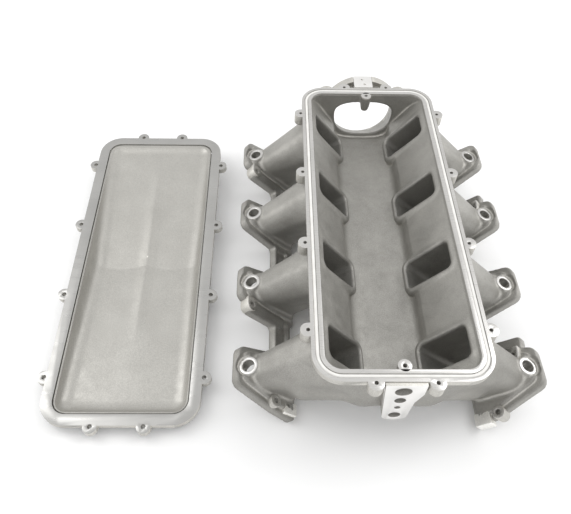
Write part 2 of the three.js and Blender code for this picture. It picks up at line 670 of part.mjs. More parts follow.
// ---- Rear port block ------------------------------------------------------------------------------
function blockOutline(top) {
  const { left, right, shoulderDepth, waist, waistDepth, footLeft, footRight, footDepth } = BLOCK_OUTLINE;
  const bottom = level(BLOCK_BOTTOM_DEPTH);
  const middle = (footLeft + footRight) / 2;
  const shape = new THREE.Shape();
  shape.moveTo(-left, top);
  shape.lineTo(footLeft, level(footDepth));
  shape.quadraticCurveTo(footLeft, bottom, middle, bottom);
  shape.quadraticCurveTo(footRight, bottom, footRight, level(footDepth));
  shape.lineTo(waist, level(waistDepth));
  shape.lineTo(right, level(shoulderDepth));
  shape.lineTo(right, top);
  return shape;
}

function addPortBlock(group) {
  const step = -RIM_HALF_LENGTH - CAST_GAP;
  const front = solid(extrudeBack(blockOutline(RIM_HEIGHT - BLOCK_TOP_DEPTH), -BLOCK_FACE_Y, step));
  const back = solid(extrudeBack(blockOutline(RIM_UNDERSIDE - CAST_GAP), step, -END_FACE - CAST_GAP));
  const ports = BLOCK_PORTS.map(([radius, depth]) => solid(cylinderAlongY(
    radius, BLOCK_PORT_X, RIM_HEIGHT - depth, -BLOCK_FACE_Y - 1, -BLOCK_FACE_Y + BLOCK_PORT_LENGTH, 12)));
  addPart(group, 'rear_port_block', cutAll(front.add(back), ports), 'machined');
}

// ---- Lid ------------------------------------------------------------------------------------------
// In the lid's own frame its machined face is at Z = 0 and its roof is below, as it lies upside down.
function leaningBox(halfX, halfY, corner, lean, top, depth) {
  const geometry = extrudeUp(roundedOutline(halfX, halfY, corner), 0, 1);
  const place = geometry.attributes.position;
  for (let i = 0; i < place.count; i += 1) {
    const low = 1 - place.getZ(i);
    const x = place.getX(i) * (1 - low * lean / halfX);
    const y = place.getY(i) * (1 - low * lean / halfY);
    place.setXYZ(i, x, y, top - low * depth);
  }
  return solid(geometry);
}

// Everything above the roof, moved up by a distance: the roof falls from the rear to its deepest line
// and rises from there to the throttle end.
function aboveRoof(shift) {
  const roofAt = (y) => -LID_MIDDLE_DEPTH - y * Math.tan(LID_TAPER) + shift;
  const end = INNER_HALF_LENGTH + LID_WALL;
  const outline = polygon([
    [-FAR, roofAt(-FAR)],
    [LID_DEEPEST_Y, roofAt(LID_DEEPEST_Y)],
    [end, shift - LID_END_DEPTH],
    [end, FAR],
    [-FAR, FAR],
  ]);
  const geometry = extrudeUp(outline, -FAR, FAR);
  const axes = [new THREE.Vector3(0, 1, 0), new THREE.Vector3(0, 0, 1), new THREE.Vector3(1, 0, 0)];
  return solid(geometry.applyMatrix4(new THREE.Matrix4().makeBasis(...axes)));
}

// A tapering block inside the lid's rim, set in from the rim's inner edge by a distance.
function lidBlock(inset, top) {
  const halfX = INNER_HALF_WIDTH - inset;
  const halfY = INNER_HALF_LENGTH - inset;
  const depth = 2 * LID_MIDDLE_DEPTH;
  return leaningBox(halfX, halfY, RIM_CORNER - RIM_BAND - inset, LID_DRAFT * depth, top, depth);
}

function addLid(group) {
  const places = screwPlaces();
  const ears = places.map(([x, y]) => solid(uprightCylinder(EAR_RADIUS, x, y, -RIM_THICKNESS, 0)));
  const holes = places.map(([x, y]) => (
    solid(uprightCylinder(CLEARANCE_RADIUS, x, y, -RIM_THICKNESS - 1, 1, HOLE_SIDES))));
  const ring = joinAll([rimRing(-RIM_THICKNESS, 0), ...ears]).subtract(rimOpening(-RIM_THICKNESS - 1, 1));
  addPart(group, 'lid_rim', cutAll(ring, holes), 'machined');

  const below = lidBlock(-LID_WALL, -RIM_THICKNESS);
  const lip = lidBlock(CAST_GAP, -LID_LIP_DEPTH);
  const hollow = lidBlock(LID_LIP_WIDTH, 0).intersect(aboveRoof(LID_ROOF));
  addPart(group, 'lid_shell', below.add(lip).intersect(aboveRoof(0)).subtract(hollow), 'cast');
}

// ---- Assembly -------------------------------------------------------------------------------------
const manifold = new THREE.Group();
const base = new THREE.Group();
addPlenum(base);
addRim(base);
addBank(base, 'left');
addBank(base, 'right');
addRails(base, 'left');
addRails(base, 'right');
addLugs(base);
addFootFittings(base, 'left');
addFootFittings(base, 'right');
addInnerBosses(base);
addThrottleEnd(base);
addPortBlock(base);
manifold.add(base);

const lid = new THREE.Group();
addLid(lid);
const lidHeight = LID_MIDDLE_DEPTH * Math.cos(LID_TAPER);
const lidShift = (RIM_HEIGHT + LID_GAP - lidHeight) * Math.tan(LID_TAPER / 2);
lid.position.set(-LID_DISTANCE, lidShift, lidHeight);
lid.rotation.x = LID_TAPER;
manifold.add(lid);

// The origin is under the middle of the whole object, on the floor.
manifold.updateMatrixWorld(true);
const middle = new THREE.Box3().setFromObject(manifold, true).getCenter(new THREE.Vector3());
manifold.position.set(-middle.x, -middle.y, 0);

export default manifold;
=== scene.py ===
import json
import math

import bmesh
import bpy
import numpy as np
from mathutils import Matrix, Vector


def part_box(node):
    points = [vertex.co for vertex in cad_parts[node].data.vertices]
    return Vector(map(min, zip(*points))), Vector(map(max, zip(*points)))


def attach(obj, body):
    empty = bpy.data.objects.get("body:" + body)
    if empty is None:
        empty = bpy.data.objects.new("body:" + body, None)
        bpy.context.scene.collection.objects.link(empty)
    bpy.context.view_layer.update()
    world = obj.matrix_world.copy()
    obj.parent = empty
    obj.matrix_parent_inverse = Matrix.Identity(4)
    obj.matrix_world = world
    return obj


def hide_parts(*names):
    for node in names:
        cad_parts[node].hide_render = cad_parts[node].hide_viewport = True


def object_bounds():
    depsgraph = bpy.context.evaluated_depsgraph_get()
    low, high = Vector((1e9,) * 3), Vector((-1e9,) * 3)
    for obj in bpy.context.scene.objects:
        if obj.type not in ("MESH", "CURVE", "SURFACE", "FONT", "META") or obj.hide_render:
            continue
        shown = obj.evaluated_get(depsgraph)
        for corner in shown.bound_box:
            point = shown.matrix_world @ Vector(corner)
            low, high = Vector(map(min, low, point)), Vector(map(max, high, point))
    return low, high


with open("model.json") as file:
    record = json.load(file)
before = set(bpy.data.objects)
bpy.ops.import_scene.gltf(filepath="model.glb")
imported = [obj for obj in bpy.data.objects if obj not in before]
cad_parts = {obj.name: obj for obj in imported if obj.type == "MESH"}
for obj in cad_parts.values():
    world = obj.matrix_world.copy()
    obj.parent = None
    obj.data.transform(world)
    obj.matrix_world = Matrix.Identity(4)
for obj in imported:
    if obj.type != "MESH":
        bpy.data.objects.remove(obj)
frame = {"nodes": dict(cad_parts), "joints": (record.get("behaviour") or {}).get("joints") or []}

import openvdb
from mathutils import Matrix, Vector

CAD_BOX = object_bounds()
MM = 0.001

# ---- The frame's own places -----------------------------------------------------------------------
# Base coordinates are millimetres from the point on the floor under the middle of the rim.
RIM_LOW, RIM_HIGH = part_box("plenum_rim")
RIM_TOP = RIM_HIGH.z / MM
BASE = Vector(((RIM_LOW.x + RIM_HIGH.x) / 2, (RIM_LOW.y + RIM_HIGH.y) / 2, 0))
HINGE_AXIS = frame["joints"][0]["axis"]
LID_TILT = 2 * math.atan2(HINGE_AXIS[2], HINGE_AXIS[1])
RIM_THICKNESS = 8

# ---- Sizes, in millimetres ------------------------------------------------------------------------
# A pair holds a half width and a half length, or a place and a depth below the rim's face.
FINE_CELL = 1.4
FINE_LID_CELL = 1.1

RIM_HALF = (90, 224)
RIM_BAND = 13
RIM_CORNER = 30
INNER_HALF = (RIM_HALF[0] - RIM_BAND, RIM_HALF[1] - RIM_BAND)
INNER_CORNER = RIM_CORNER - RIM_BAND
WALL = 6
END_WALL = 7
END_FACE = INNER_HALF[1] + END_WALL
LAND_GAP = 0.4  # between the machined rim and the cast metal under it
GROOVE_INSET = 4
GROOVE_WIDTH = 4.4
GROOVE_DEPTH = 3
EAR_RADIUS = 8
EAR_HEIGHT = 14
EAR_OFFSETS = (2.3, 1.2)
END_EAR_X = 29.4
SCREW_RADIUS = 2.1
SCREW_DEPTH = 12
CLEARANCE_RADIUS = 2.7
INNER_BOSS_RADIUS = 7
INNER_BOSS_INSET = 4
INNER_BOSS_HEIGHT = 24
INNER_BOSS_TOP = 3

PITCH = 111.76
ROWS = 4
RUNNER_SHIFT = -3
SLOPE_TOP = 3
SLOPE_EDGE = (42, 53)
FLOOR_HALF = 40
FLOOR_SIDE_DEPTH = 60
FLOOR_DEPTH = 78
OPEN_TOP = 3
LIP_RISE = 1
BEAD_RISE = 5
BEAD_START = 18
BEAD_REACH = 40
TONGUE_WALL = WALL + 2
TONGUE_CORNER = 12
LIP_LEAN = 0.82  # cosine of the sloping wall's lean

BANK_ANGLE = math.radians(43)
FOOT_X = 110
FLANGE_LENGTH = 86
FLANGE_THICKNESS = 11
FLANGE_HALF_TOP = 23
FLANGE_HALF_FOOT = 33
COLLAR_INSET = 6.5
COLLAR_RISE = 4
END_FOOT_REACH = {-1: 10, 1: 18}
RAIL_MIDDLE = 18
RAIL_WIDTH = 26
RAIL_WEB = 6
RAIL_LIP = 2.6
RAIL_OVERLAP = 6
PORT_HALF_WIDTH = 14.5
PORT_CORNER = 6.5
PORT = (8, 55)
MOUTH = (-6, 62)
MOUTH_LEVEL = 108
MOUTH_SPREAD = 2.8
MOUTH_SHIFT = -1.5
INJECTOR_X = 154.7
INJECTOR_DEPTH = 73
INJECTOR_TILT = math.radians(15)
INJECTOR_RADIUS = 11
INJECTOR_BORE = 6.6
RING_HEIGHT = 12
CROWN = ((136, 42), (57, 93))  # each end's X and Z of a runner's rounded back
CROWN_RADII = (13, 37)
CROWN_FLAT = 0.86
WEB = ((90, -184, 44), (34, -203, 74))
WEB_RADII = (17, 13)
BAR_START = 67
BAR_REACH = 33
BAR_HALF_WIDTH = 7
BAR_HEIGHT = 12.5
LUG_ROWS = ((-1, 0, -1), (-1, 2, -1), (1, 1, 1), (1, 3, 1))

BORE_RADIUS = 45
BORE_DEPTH = 54
THROAT_HALF = (41, 28)
THROAT_DEPTH = 43
THROAT_LIFT = 8
THROTTLE_FACE = 250
FLANGE_DISC = 56
THROTTLE_BOLT = (52, 26)
BLOCK_FACE = -228
BLOCK_PORTS = ((8.4, 14.6), (5.8, 34.8), (3.1, 51.9), (6.3, 70.7))
BLOCK_PORT_X = -1.4
SIDES = ((-1, "left"), (1, "right"))
BLOCK_PORT_LENGTH = 8
BLOCK_STEP = 0.3  # gap between the block and the rim above it
LUG_RADIUS = 7.5
LUG_LENGTH = 16
LUG_HOLE = 2.4
LUG_SPOTS = {-1: (71, 30), 1: (63, 17)}  # by side: up the slope, and along from the runner
LUG_TOPS = {-1: 15, 1: 20}
FOOT_REACH = 36
FOOT_SPOTS = {-1: (34, 7), 1: (30, -5)}
FOOT_BOSS_TOP = FLANGE_THICKNESS + 6
FOOT_HOLE = 3
PAD_HALF = (9.5, 7.5)
PAD_TOP = FLANGE_THICKNESS + 4
FLANGE_DEPTH = 12
FLANGE_EAR = 12
FLANGE_HOLE = 2.9
SENSOR_PAD_X = -2
SENSOR_PAD_RISE = 1
SENSOR_PAD_THICKNESS = 9
SENSOR_PAD_HALF = (12.9, 12.7)
SENSOR_SCREWS = ((-1, 5), (2, -6))
SENSOR_SCREW_RADIUS = 1.8

LID_DEPTH = 27.4
LID_TAPER = math.radians(2.5)
LID_BEND = 8
LID_END_DEPTH = 8
LID_WALL = 5
LID_ROOF = 5
LID_DRAFT = 0.33
LID_FILLET = 13
LID_INSET = 2.6
LIP_DEPTH = 1
LOBE_MIDDLE = 36
RIDGE_HEIGHT = 2.6
RIDGE_WIDTH = 7.5
HOLLOW_DEPTH = 1.3
HOLLOW_MIDDLE = 38


# ---- Outlines -------------------------------------------------------------------------------------
def rounded(points, radius, steps=8):
    """A closed outline with each corner turned into an arc."""
    line = []
    count = len(points)
    for i, corner in enumerate(points):
        here = Vector(corner)
        back = (Vector(points[i - 1]) - here).normalized()
        ahead = (Vector(points[(i + 1) % count]) - here).normalized()
        half = back.angle(ahead) / 2
        reach = radius / math.tan(half)
        middle = here + (back + ahead).normalized() * radius / math.sin(half)
        first = here + back * reach - middle
        turn = first.angle_signed(here + ahead * reach - middle)
        for k in range(steps + 1):
            spin = Matrix.Rotation(-turn * k / steps, 2)
            line.append(tuple(middle + spin @ first))
    return line


def rectangle(half_x, half_y, radius):
    corners = [(half_x, -half_y), (half_x, half_y), (-half_x, half_y), (-half_x, -half_y)]
    return rounded(corners, radius, 12)


def circle(radius, middle=(0, 0), sides=40):
    turns = [2 * math.pi * i / sides for i in range(sides)]
    return [(middle[0] + radius * math.cos(t), middle[1] + radius * math.sin(t)) for t in turns]


def screw_places():
    places = []
    for row in range(ROWS):
        y = (row - (ROWS - 1) / 2) * PITCH
        places += [(RIM_HALF[0] + EAR_OFFSETS[0], y), (-RIM_HALF[0] - EAR_OFFSETS[0], y)]
    for way in (-1, 1):
        y = way * (RIM_HALF[1] + EAR_OFFSETS[1])
        places += [(END_EAR_X, y), (-END_EAR_X, y)]
    return places


def runner_y(row):
    return RUNNER_SHIFT + ((ROWS - 1) / 2 - row) * PITCH


# ---- Signed distances: negative inside metal --------------------------------------------------------
def soft_min(a, b, blend):
    if blend <= 0:
        return np.minimum(a, b)
    near = np.maximum(blend - np.abs(a - b), 0) / blend
    return np.minimum(a, b) - near * near * blend / 4


def soft_max(a, b, blend):
    return -soft_min(-a, -b, blend)


def outline_distance(points, a, b):
    """Distance to a closed outline in two directions, negative inside it."""
    nearest = np.float32(1e9)
    inside = False
    count = len(points)
    for i in range(count):
        a0, b0 = points[i]
        a1, b1 = points[(i + 1) % count]
        run_a, run_b = a1 - a0, b1 - b0
        off_a, off_b = a - a0, b - b0
        share = np.clip((off_a * run_a + off_b * run_b) / (run_a**2 + run_b**2), 0, 1)
        gap = (off_a - run_a * share) ** 2 + (off_b - run_b * share) ** 2
        nearest = np.minimum(nearest, gap)
        if run_b != 0:
            crosses = ((b0 > b) != (b1 > b)) & (off_a < run_a * off_b / run_b)
            inside = inside ^ crosses
    return np.where(inside, -1, 1) * np.sqrt(nearest)


def rectangle_distance(a, b, half_a, half_b, radius):
    over_a = np.abs(a) - half_a + radius
    over_b = np.abs(b) - half_b + radius
    outside = np.hypot(np.maximum(over_a, 0), np.maximum(over_b, 0))
    return outside + np.minimum(np.maximum(over_a, over_b), 0) - radius


def between(value, low, high):
    return np.abs(value - (low + high) / 2) - (high - low) / 2


def cone_distance(point, start, end, radii, flat):
    """A round-ended cone; flat under 1 makes it wider along Y."""
    scale = (1, flat, 1)
    run = [(e - s) * f for s, e, f in zip(start, end, scale)]
    off = [(p - s) * f for p, s, f in zip(point, start, scale)]
    share = sum(o * r for o, r in zip(off, run)) / sum(r * r for r in run)
    share = np.clip(share, 0, 1)
    gap = np.sqrt(sum((o - r * share) ** 2 for o, r in zip(off, run)))
    return gap - (radii[0] + (radii[1] - radii[0]) * share)


class Metal:
    """Cast metal as signed distances on a grid, in millimetres."""

    def __init__(self, low, high, cell):
        self.low = np.array(low, float)
        self.cell = cell
        self.size = np.ceil((np.array(high) - self.low) / cell).astype(int) + 1
        self.gaps = np.full(self.size, 50, np.float32)

    def change(self, shape, low, high, combine):
        first = np.floor((np.array(low) - self.low) / self.cell).astype(int)
        last = np.ceil((np.array(high) - self.low) / self.cell).astype(int) + 1
        first = np.clip(first, 0, self.size)
        last = np.clip(last, 0, self.size)
        places = []
        for axis in range(3):
            line = self.low[axis] + self.cell * np.arange(first[axis], last[axis])
            across = [-1 if k == axis else 1 for k in range(3)]
            places.append(line.astype(np.float32).reshape(across))
        window = tuple(slice(a, b) for a, b in zip(first, last))
        self.gaps[window] = combine(self.gaps[window], shape(*places))

    def add(self, shape, low, high, blend=0):
        self.change(shape, low, high, lambda old, new: soft_min(old, new, blend))

    def cut(self, shape, low, high, blend=0):
        self.change(shape, low, high, lambda old, new: soft_max(old, -new, blend))

    def mesh(self, name):
        grid = openvdb.FloatGrid()
        grid.copyFromArray(self.gaps)
        points, triangles, quads = grid.convertToPolygons(0.0, 0.0)
        points = points * self.cell + self.low
        mesh = bpy.data.meshes.new(name)
        faces = [face[::-1] for face in quads.tolist() + triangles.tolist()]
        mesh.from_pydata(points.tolist(), [], faces)
        return mesh


# ---- Materials ------------------------------------------------------------------------------------
def new_material(name, colour, metallic, roughness):
    material = bpy.data.materials.new(name)
    material.use_nodes = True
    shader = material.node_tree.nodes["Principled BSDF"]
    shader.inputs["Base Color"].default_value = (*colour, 1)
    shader.inputs["Metallic"].default_value = metallic
    shader.inputs["Roughness"].default_value = roughness
    return material, shader


def add_node(material, kind, links=()):
    node = material.node_tree.nodes.new(kind)
    for source, target in links:
        material.node_tree.links.new(source, node.inputs[target])
    return node


def noise(material, place, scale, detail, roughness=0.5):
    node = add_node(material, "ShaderNodeTexNoise", [(place, "Vector")])
    node.inputs["Scale"].default_value = scale
    node.inputs["Detail"].default_value = detail
    node.inputs["Roughness"].default_value = roughness
    return node.outputs["Fac"]


def ramp(material, source, stops):
    node = add_node(material, "ShaderNodeValToRGB", [(source, "Fac")])
    elements = node.color_ramp.elements
    for i, (position, value) in enumerate(stops):
        element = elements[i] if i < 2 else elements.new(position)
        element.position = position
        colour = value if isinstance(value, tuple) else (value, value, value)
        element.color = (*colour, 1)
    return node.outputs["Color"]


def object_place(material, stretch=(1, 1, 1)):
    place = add_node(material, "ShaderNodeTexCoord").outputs["Object"]
    mapping = add_node(material, "ShaderNodeMapping", [(place, "Vector")])
    mapping.inputs["Scale"].default_value = stretch
    return mapping.outputs["Vector"]


def bump(material, shader, height, strength, distance, below=None):
    node = add_node(material, "ShaderNodeBump", [(height, "Height")])
    node.inputs["Strength"].default_value = strength
    node.inputs["Distance"].default_value = distance
    if below is not None:
        material.node_tree.links.new(below, node.inputs["Normal"])
    material.node_tree.links.new(node.outputs["Normal"], shader.inputs["Normal"])
    return node.outputs["Normal"]


def cast_material(name, dark, light, metallic=0.75, roughness=0.5, grain=1.0):
    """Sand-cast aluminium: fine grain, soft blotches, a painted highlight on sharp edges and painted
    shade in creases.
    """
    material, shader = new_material(name, light, metallic, roughness)
    links = material.node_tree.links
    place = object_place(material)
    blotches = noise(material, place, 28, 4)
    specks = noise(material, place, 900, 2, 0.7)
    tone = ramp(material, blotches, [(0.3, dark), (0.7, light)])
    fleck = ramp(material, specks, [(0.35, 0.86), (0.7, 1.12)])
    # Pointiness paints a highlight on sharp edges and paints shade into creases and hollows.
    edges = add_node(material, "ShaderNodeNewGeometry").outputs["Pointiness"]
    painted_edge_highlight_and_crease_shade = ramp(material, edges, [(0.46, 0.8), (0.495, 1.0), (0.515, 1.04), (0.56, 1.75)])
    for other in (fleck, painted_edge_highlight_and_crease_shade):
        mixed = add_node(material, "ShaderNodeMix")
        mixed.data_type = "RGBA"
        mixed.blend_type = "MULTIPLY"
        mixed.inputs["Factor"].default_value = 1
        links.new(tone, mixed.inputs[6])
        links.new(other, mixed.inputs[7])
        tone = mixed.outputs[2]
    links.new(tone, shader.inputs["Base Color"])
    rubbed = noise(material, place, 120, 3)
    shine = ramp(material, rubbed, [(0.3, roughness - 0.06), (0.7, roughness + 0.1)])
    links.new(shine, shader.inputs["Roughness"])
    skin = noise(material, place, 620, 4, 0.65)
    swell = noise(material, place, 60, 2)
    lower = bump(material, shader, swell, 0.25 * grain, 0.0012)
    bump(material, shader, skin, 0.55 * grain, 0.0004, lower)
    return material


def milled_material(name, colour, roughness, stretch=(40, 900, 900), marks=0.2):
    """Milled aluminium with fine tool marks, longest where the stretch is smallest."""
    material, shader = new_material(name, colour, 1.0, roughness)
    links = material.node_tree.links
    lines = noise(material, object_place(material, stretch), 1, 3, 0.6)
    shine = ramp(material, lines, [(0.25, roughness - 0.07), (0.75, roughness + 0.1)])
    links.new(shine, shader.inputs["Roughness"])
    stains = noise(material, object_place(material), 22, 3)
    tone = ramp(material, stains, [(0.3, tuple(c * 0.88 for c in colour)), (0.7, colour)])
    links.new(tone, shader.inputs["Base Color"])
    bump(material, shader, lines, marks, 0.0002)
    return material


def rubber_material(name, colour):
    material, shader = new_material(name, colour, 0.0, 0.5)
    place = object_place(material)
    darker = tuple(c * 0.9 for c in colour)
    tone = ramp(material, noise(material, place, 90, 3), [(0.3, darker), (0.7, colour)])
    material.node_tree.links.new(tone, shader.inputs["Base Color"])
    bump(material, shader, noise(material, place, 1200, 2), 0.2, 0.0001)
    return material


CAST = cast_material("cast_skin", (0.33, 0.322, 0.300), (0.41, 0.40, 0.374))
CAST_BRIGHT = cast_material("rubbed_skin", (0.58, 0.57, 0.54), (0.72, 0.71, 0.68), 0.7, 0.42, 0.6)
LID_CAST = cast_material("lid_skin", (0.43, 0.42, 0.392), (0.47, 0.46, 0.43), 0.7, 0.42, 0.5)
MILLED = milled_material("milled_face", (0.62, 0.61, 0.59), 0.3)
WHITE_MILLED = milled_material("fresh_face", (0.93, 0.92, 0.90), 0.35)
BRUSHED = milled_material("brushed_face", (0.46, 0.455, 0.44), 0.3, (12, 200, 200), 0.05)
RUBBER = rubber_material("seal_cord", (0.80, 0.79, 0.76))


def piece(name, mesh, material, body, nodes, place, sides=None):
    """Puts a mesh on a body in place of CAD nodes; its sides may have their own material."""
    thing = bpy.data.objects.new(name, mesh)
    bpy.context.scene.collection.objects.link(thing)
    mesh.materials.clear()
    mesh.materials.append(material)
    if sides is not None:
        mesh.materials.append(sides)
        for face in mesh.polygons:
            face.material_index = int(abs(face.normal.z) < 0.6)
    mesh.transform(place)
    if place.determinant() < 0:
        mesh.flip_normals()
    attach(thing, body)
    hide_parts(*nodes)


def prism(outline, low, high):
    """A closed mesh with this outline in X and Y, from low to high along Z, in millimetres."""
    bm = bmesh.new()
    bottom = [bm.verts.new((x, y, low)) for x, y in outline]
    top = [bm.verts.new((x, y, high)) for x, y in outline]
    bm.faces.new(bottom[::-1])
    bm.faces.new(top)
    count = len(outline)
    for i in range(count):
        after = (i + 1) % count
        bm.faces.new((bottom[i], bottom[after], top[after], top[i]))
    bmesh.ops.recalc_face_normals(bm, faces=bm.faces)
    mesh = bpy.data.meshes.new("prism")
    bm.to_mesh(mesh)
    bm.free()
    return mesh


def combined(first, others):
    """Joins or cuts a mesh by others: pairs of an operation and a mesh, all in millimetres."""
    start = bpy.data.objects.new("start", first)
    bpy.context.scene.collection.objects.link(start)
    helpers = [start]
    for operation, mesh in others:
        helper = bpy.data.objects.new("helper", mesh)
        bpy.context.scene.collection.objects.link(helper)
        helpers.append(helper)
        step = start.modifiers.new("step", "BOOLEAN")
        step.operation = operation
        step.solver = "EXACT"
        step.object = helper
    graph = bpy.context.evaluated_depsgraph_get()
    mesh = bpy.data.meshes.new_from_object(start.evaluated_get(graph))
    for helper in helpers:
        old = helper.data
        bpy.data.objects.remove(helper)
        bpy.data.meshes.remove(old)
    return mesh


def soften_edges(mesh, width, segments=2, angle=35):
    """Rounds every edge sharper than the angle, in millimetres, and shades the mesh."""
    holder = bpy.data.objects.new("holder", mesh)
    bpy.context.scene.collection.objects.link(holder)
    edge = holder.modifiers.new("edge", "BEVEL")
    edge.width = width
    edge.segments = segments
    edge.limit_method = "ANGLE"
    edge.angle_limit = math.radians(angle)
    edge.use_clamp_overlap = True
    graph = bpy.context.evaluated_depsgraph_get()
    result = bpy.data.meshes.new_from_object(holder.evaluated_get(graph))
    bpy.data.objects.remove(holder)
    bpy.data.meshes.remove(mesh)
    result.shade_smooth()
    result.set_sharp_from_angle(angle=math.radians(angle))
    return result


def in_base(turn=Matrix.Identity(4)):
    return Matrix.Translation(BASE) @ Matrix.Scale(MM, 4) @ turn


def mirror(side):
    return Matrix.Diagonal((side, 1, 1, 1))


def lid_place():
    low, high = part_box("lid_rim")
    spin = Matrix.Rotation(LID_TILT, 4, "X")
    middle = (low + high) / 2
    face = middle + spin @ Vector((0, 0, RIM_THICKNESS / 2 * MM))
    return Matrix.Translation(face) @ spin @ Matrix.Scale(MM, 4)


def on_bank(side, up, y):
    """A matrix that stands things on a bank: X up the slope, Z away from the mating face."""
    x = FOOT_X + up * math.cos(BANK_ANGLE)
    z = up * math.sin(BANK_ANGLE)
    return mirror(side) @ Matrix.Translation((x, y, z)) @ Matrix.Rotation(-BANK_ANGLE, 4, "Y")


# ---- The base casting -----------------------------------------------------------------------------
def depth_of(z):
    return RIM_TOP - z


def slope_x(depth):
    share = (depth - SLOPE_TOP) / (SLOPE_EDGE[1] - SLOPE_TOP)
    return INNER_HALF[0] + (SLOPE_EDGE[0] - INNER_HALF[0]) * share


def trough_outline(growth, top):
    """The trough's section in X and depth: upright, then sloping, then a squared-off round floor."""
    half = [(INNER_HALF[0] + growth, -top)]
    half.append((INNER_HALF[0] + growth, SLOPE_TOP + growth / 2))
    half.append((SLOPE_EDGE[0] + growth, SLOPE_EDGE[1] + growth / 2))
    steps = 16
    fall = FLOOR_DEPTH + growth - FLOOR_SIDE_DEPTH
    for i in range(steps + 1):
        turn = math.pi / 2 * i / steps
        x = (FLOOR_HALF + growth) * math.cos(turn) ** (2 / 3)
        half.append((x, FLOOR_SIDE_DEPTH + fall * math.sin(turn) ** (2 / 3)))
    other = [(-x, depth) for x, depth in half[:-1]]
    return half + other[::-1]


def plenum_shape(growth, half_y, corner, top, blend):
    outline = trough_outline(growth, top)

    def shape(x, y, z):
        section = outline_distance(outline, x, depth_of(z))
        plan = rectangle_distance(x, y, INNER_HALF[0] + growth, half_y, corner)
        return soft_max(section, plan, blend)

    return shape


def bank_place(side, x, z):
    """Distance up the slope and level above the mating face."""
    out = side * x - FOOT_X
    up = out * math.cos(BANK_ANGLE) + z * math.sin(BANK_ANGLE)
    level = -out * math.sin(BANK_ANGLE) + z * math.cos(BANK_ANGLE)
    return up, level


def passage_shape(side, y0, growth, corner, levels):
    """A runner's passage, which slides and widens from the head's port to its mouth."""

    def shape(x, y, z):
        up, level = bank_place(side, x, z)
        share = level / MOUTH_LEVEL
        start = PORT[0] + (MOUTH[0] - PORT[0]) * share
        length = PORT[1] + (MOUTH[1] - PORT[1]) * share
        along = up - start - length / 2
        half_width = PORT_HALF_WIDTH + MOUTH_SPREAD * share + growth
        across = y - y0 - MOUTH_SHIFT * share
        section = rectangle_distance(along, across, length / 2 + growth, half_width, corner)
        return np.maximum(section, between(level, *levels))

    return shape


def flange_outline(rear_reach, inset=0.0):
    """Narrow and well rounded at the injector, wide at the foot."""
    top = FLANGE_HALF_TOP - inset
    foot = FLANGE_HALF_FOOT - inset
    waist = RAIL_MIDDLE + RAIL_WIDTH / 2
    end = FLANGE_LENGTH - inset
    points = [
        (inset / 2, -foot - rear_reach),
        (waist, -foot - rear_reach / 2),
        (end, -top),
        (end, top),
        (waist, foot),
        (inset / 2, foot),
    ]
    return rounded(points, 4, 3)[:8] + rounded(points, 11, 5)[12:24] + rounded(points, 4, 3)[16:]


def plate_shape(side, y0, outline, levels):
    def shape(x, y, z):
        up, level = bank_place(side, x, z)
        return soft_max(outline_distance(outline, up, y - y0), between(level, *levels), 2)

    return shape


def bar_shape(side, start, end, half_width, levels, blend=2.0):
    """A bar on a bank between two places, each a distance up the slope and a Y."""
    run = (end[0] - start[0], end[1] - start[1])
    size = math.hypot(*run)

    def shape(x, y, z):
        up, level = bank_place(side, x, z)
        along = ((up - start[0]) * run[0] + (y - start[1]) * run[1]) / size
        across = ((up - start[0]) * run[1] - (y - start[1]) * run[0]) / size
        reach = size / 2 + half_width
        flat = rectangle_distance(along - size / 2, across, reach, half_width, half_width * 0.7)
        return soft_max(flat, between(level, *levels), blend)

    return shape


def injector_shape(side, y0, radius, low, high, blend=0.0):
    def shape(x, y, z):
        out = side * x - INJECTOR_X
        up = z - (RIM_TOP - INJECTOR_DEPTH)
        axis = out * math.sin(INJECTOR_TILT) + up * math.cos(INJECTOR_TILT)
        away = out * math.cos(INJECTOR_TILT) - up * math.sin(INJECTOR_TILT)
        return soft_max(np.hypot(away, y - y0) - radius, between(axis, low, high), blend)

    return shape


def bank_window(side, y0, half_y, near=20):
    """The room that one bank's shapes are worked out in, as two corners."""
    low_x, high_x = sorted((side * near, side * 176))
    return (low_x, y0 - half_y, -2), (high_x, y0 + half_y, RIM_TOP + 1)


def add_runner_outside(metal, side, row):
    y0 = runner_y(row)
    window = bank_window(side, y0, 62)
    reach = END_FOOT_REACH[side] if row == ROWS - 1 else 0
    crown = [(side * x, y0, z) for x, z in CROWN]
    metal.add(lambda x, y, z: cone_distance((x, y, z), *crown, CROWN_RADII, CROWN_FLAT), *window, 7)
    metal.add(passage_shape(side, y0, WALL, 16, (4, 104)), *window, 8)
    collar = flange_outline(reach, COLLAR_INSET)
    metal.add(plate_shape(side, y0, collar, (1, FLANGE_THICKNESS + COLLAR_RISE)), *window, 4)
    metal.add(plate_shape(side, y0, flange_outline(reach), (0, FLANGE_THICKNESS)), *window, 1.2)
    metal.add(injector_shape(side, y0, INJECTOR_RADIUS, -16, -0.8, 1), *window, 4)


def add_rails(metal, side):
    """Channels between the feet of the flanges, with a raised lip along each edge."""
    for row in range(ROWS - 1):
        far = runner_y(row) - FLANGE_HALF_FOOT + RAIL_OVERLAP
        near = runner_y(row + 1) + FLANGE_HALF_FOOT - RAIL_OVERLAP
        middle = (far + near) / 2
        half = (far - near) / 2
        window = bank_window(side, middle, half + 8)
        web = bar_shape(side, (RAIL_MIDDLE, near), (RAIL_MIDDLE, far), RAIL_WIDTH / 2, (0, RAIL_WEB))
        metal.add(web, *window, 4)
        for way in (-1, 1):
            up = RAIL_MIDDLE + way * (RAIL_WIDTH / 2 - 2.5)
            lip = bar_shape(side, (up, near), (up, far), RAIL_LIP, (0, FLANGE_THICKNESS), 2.2)
            metal.add(lip, *window, 3)


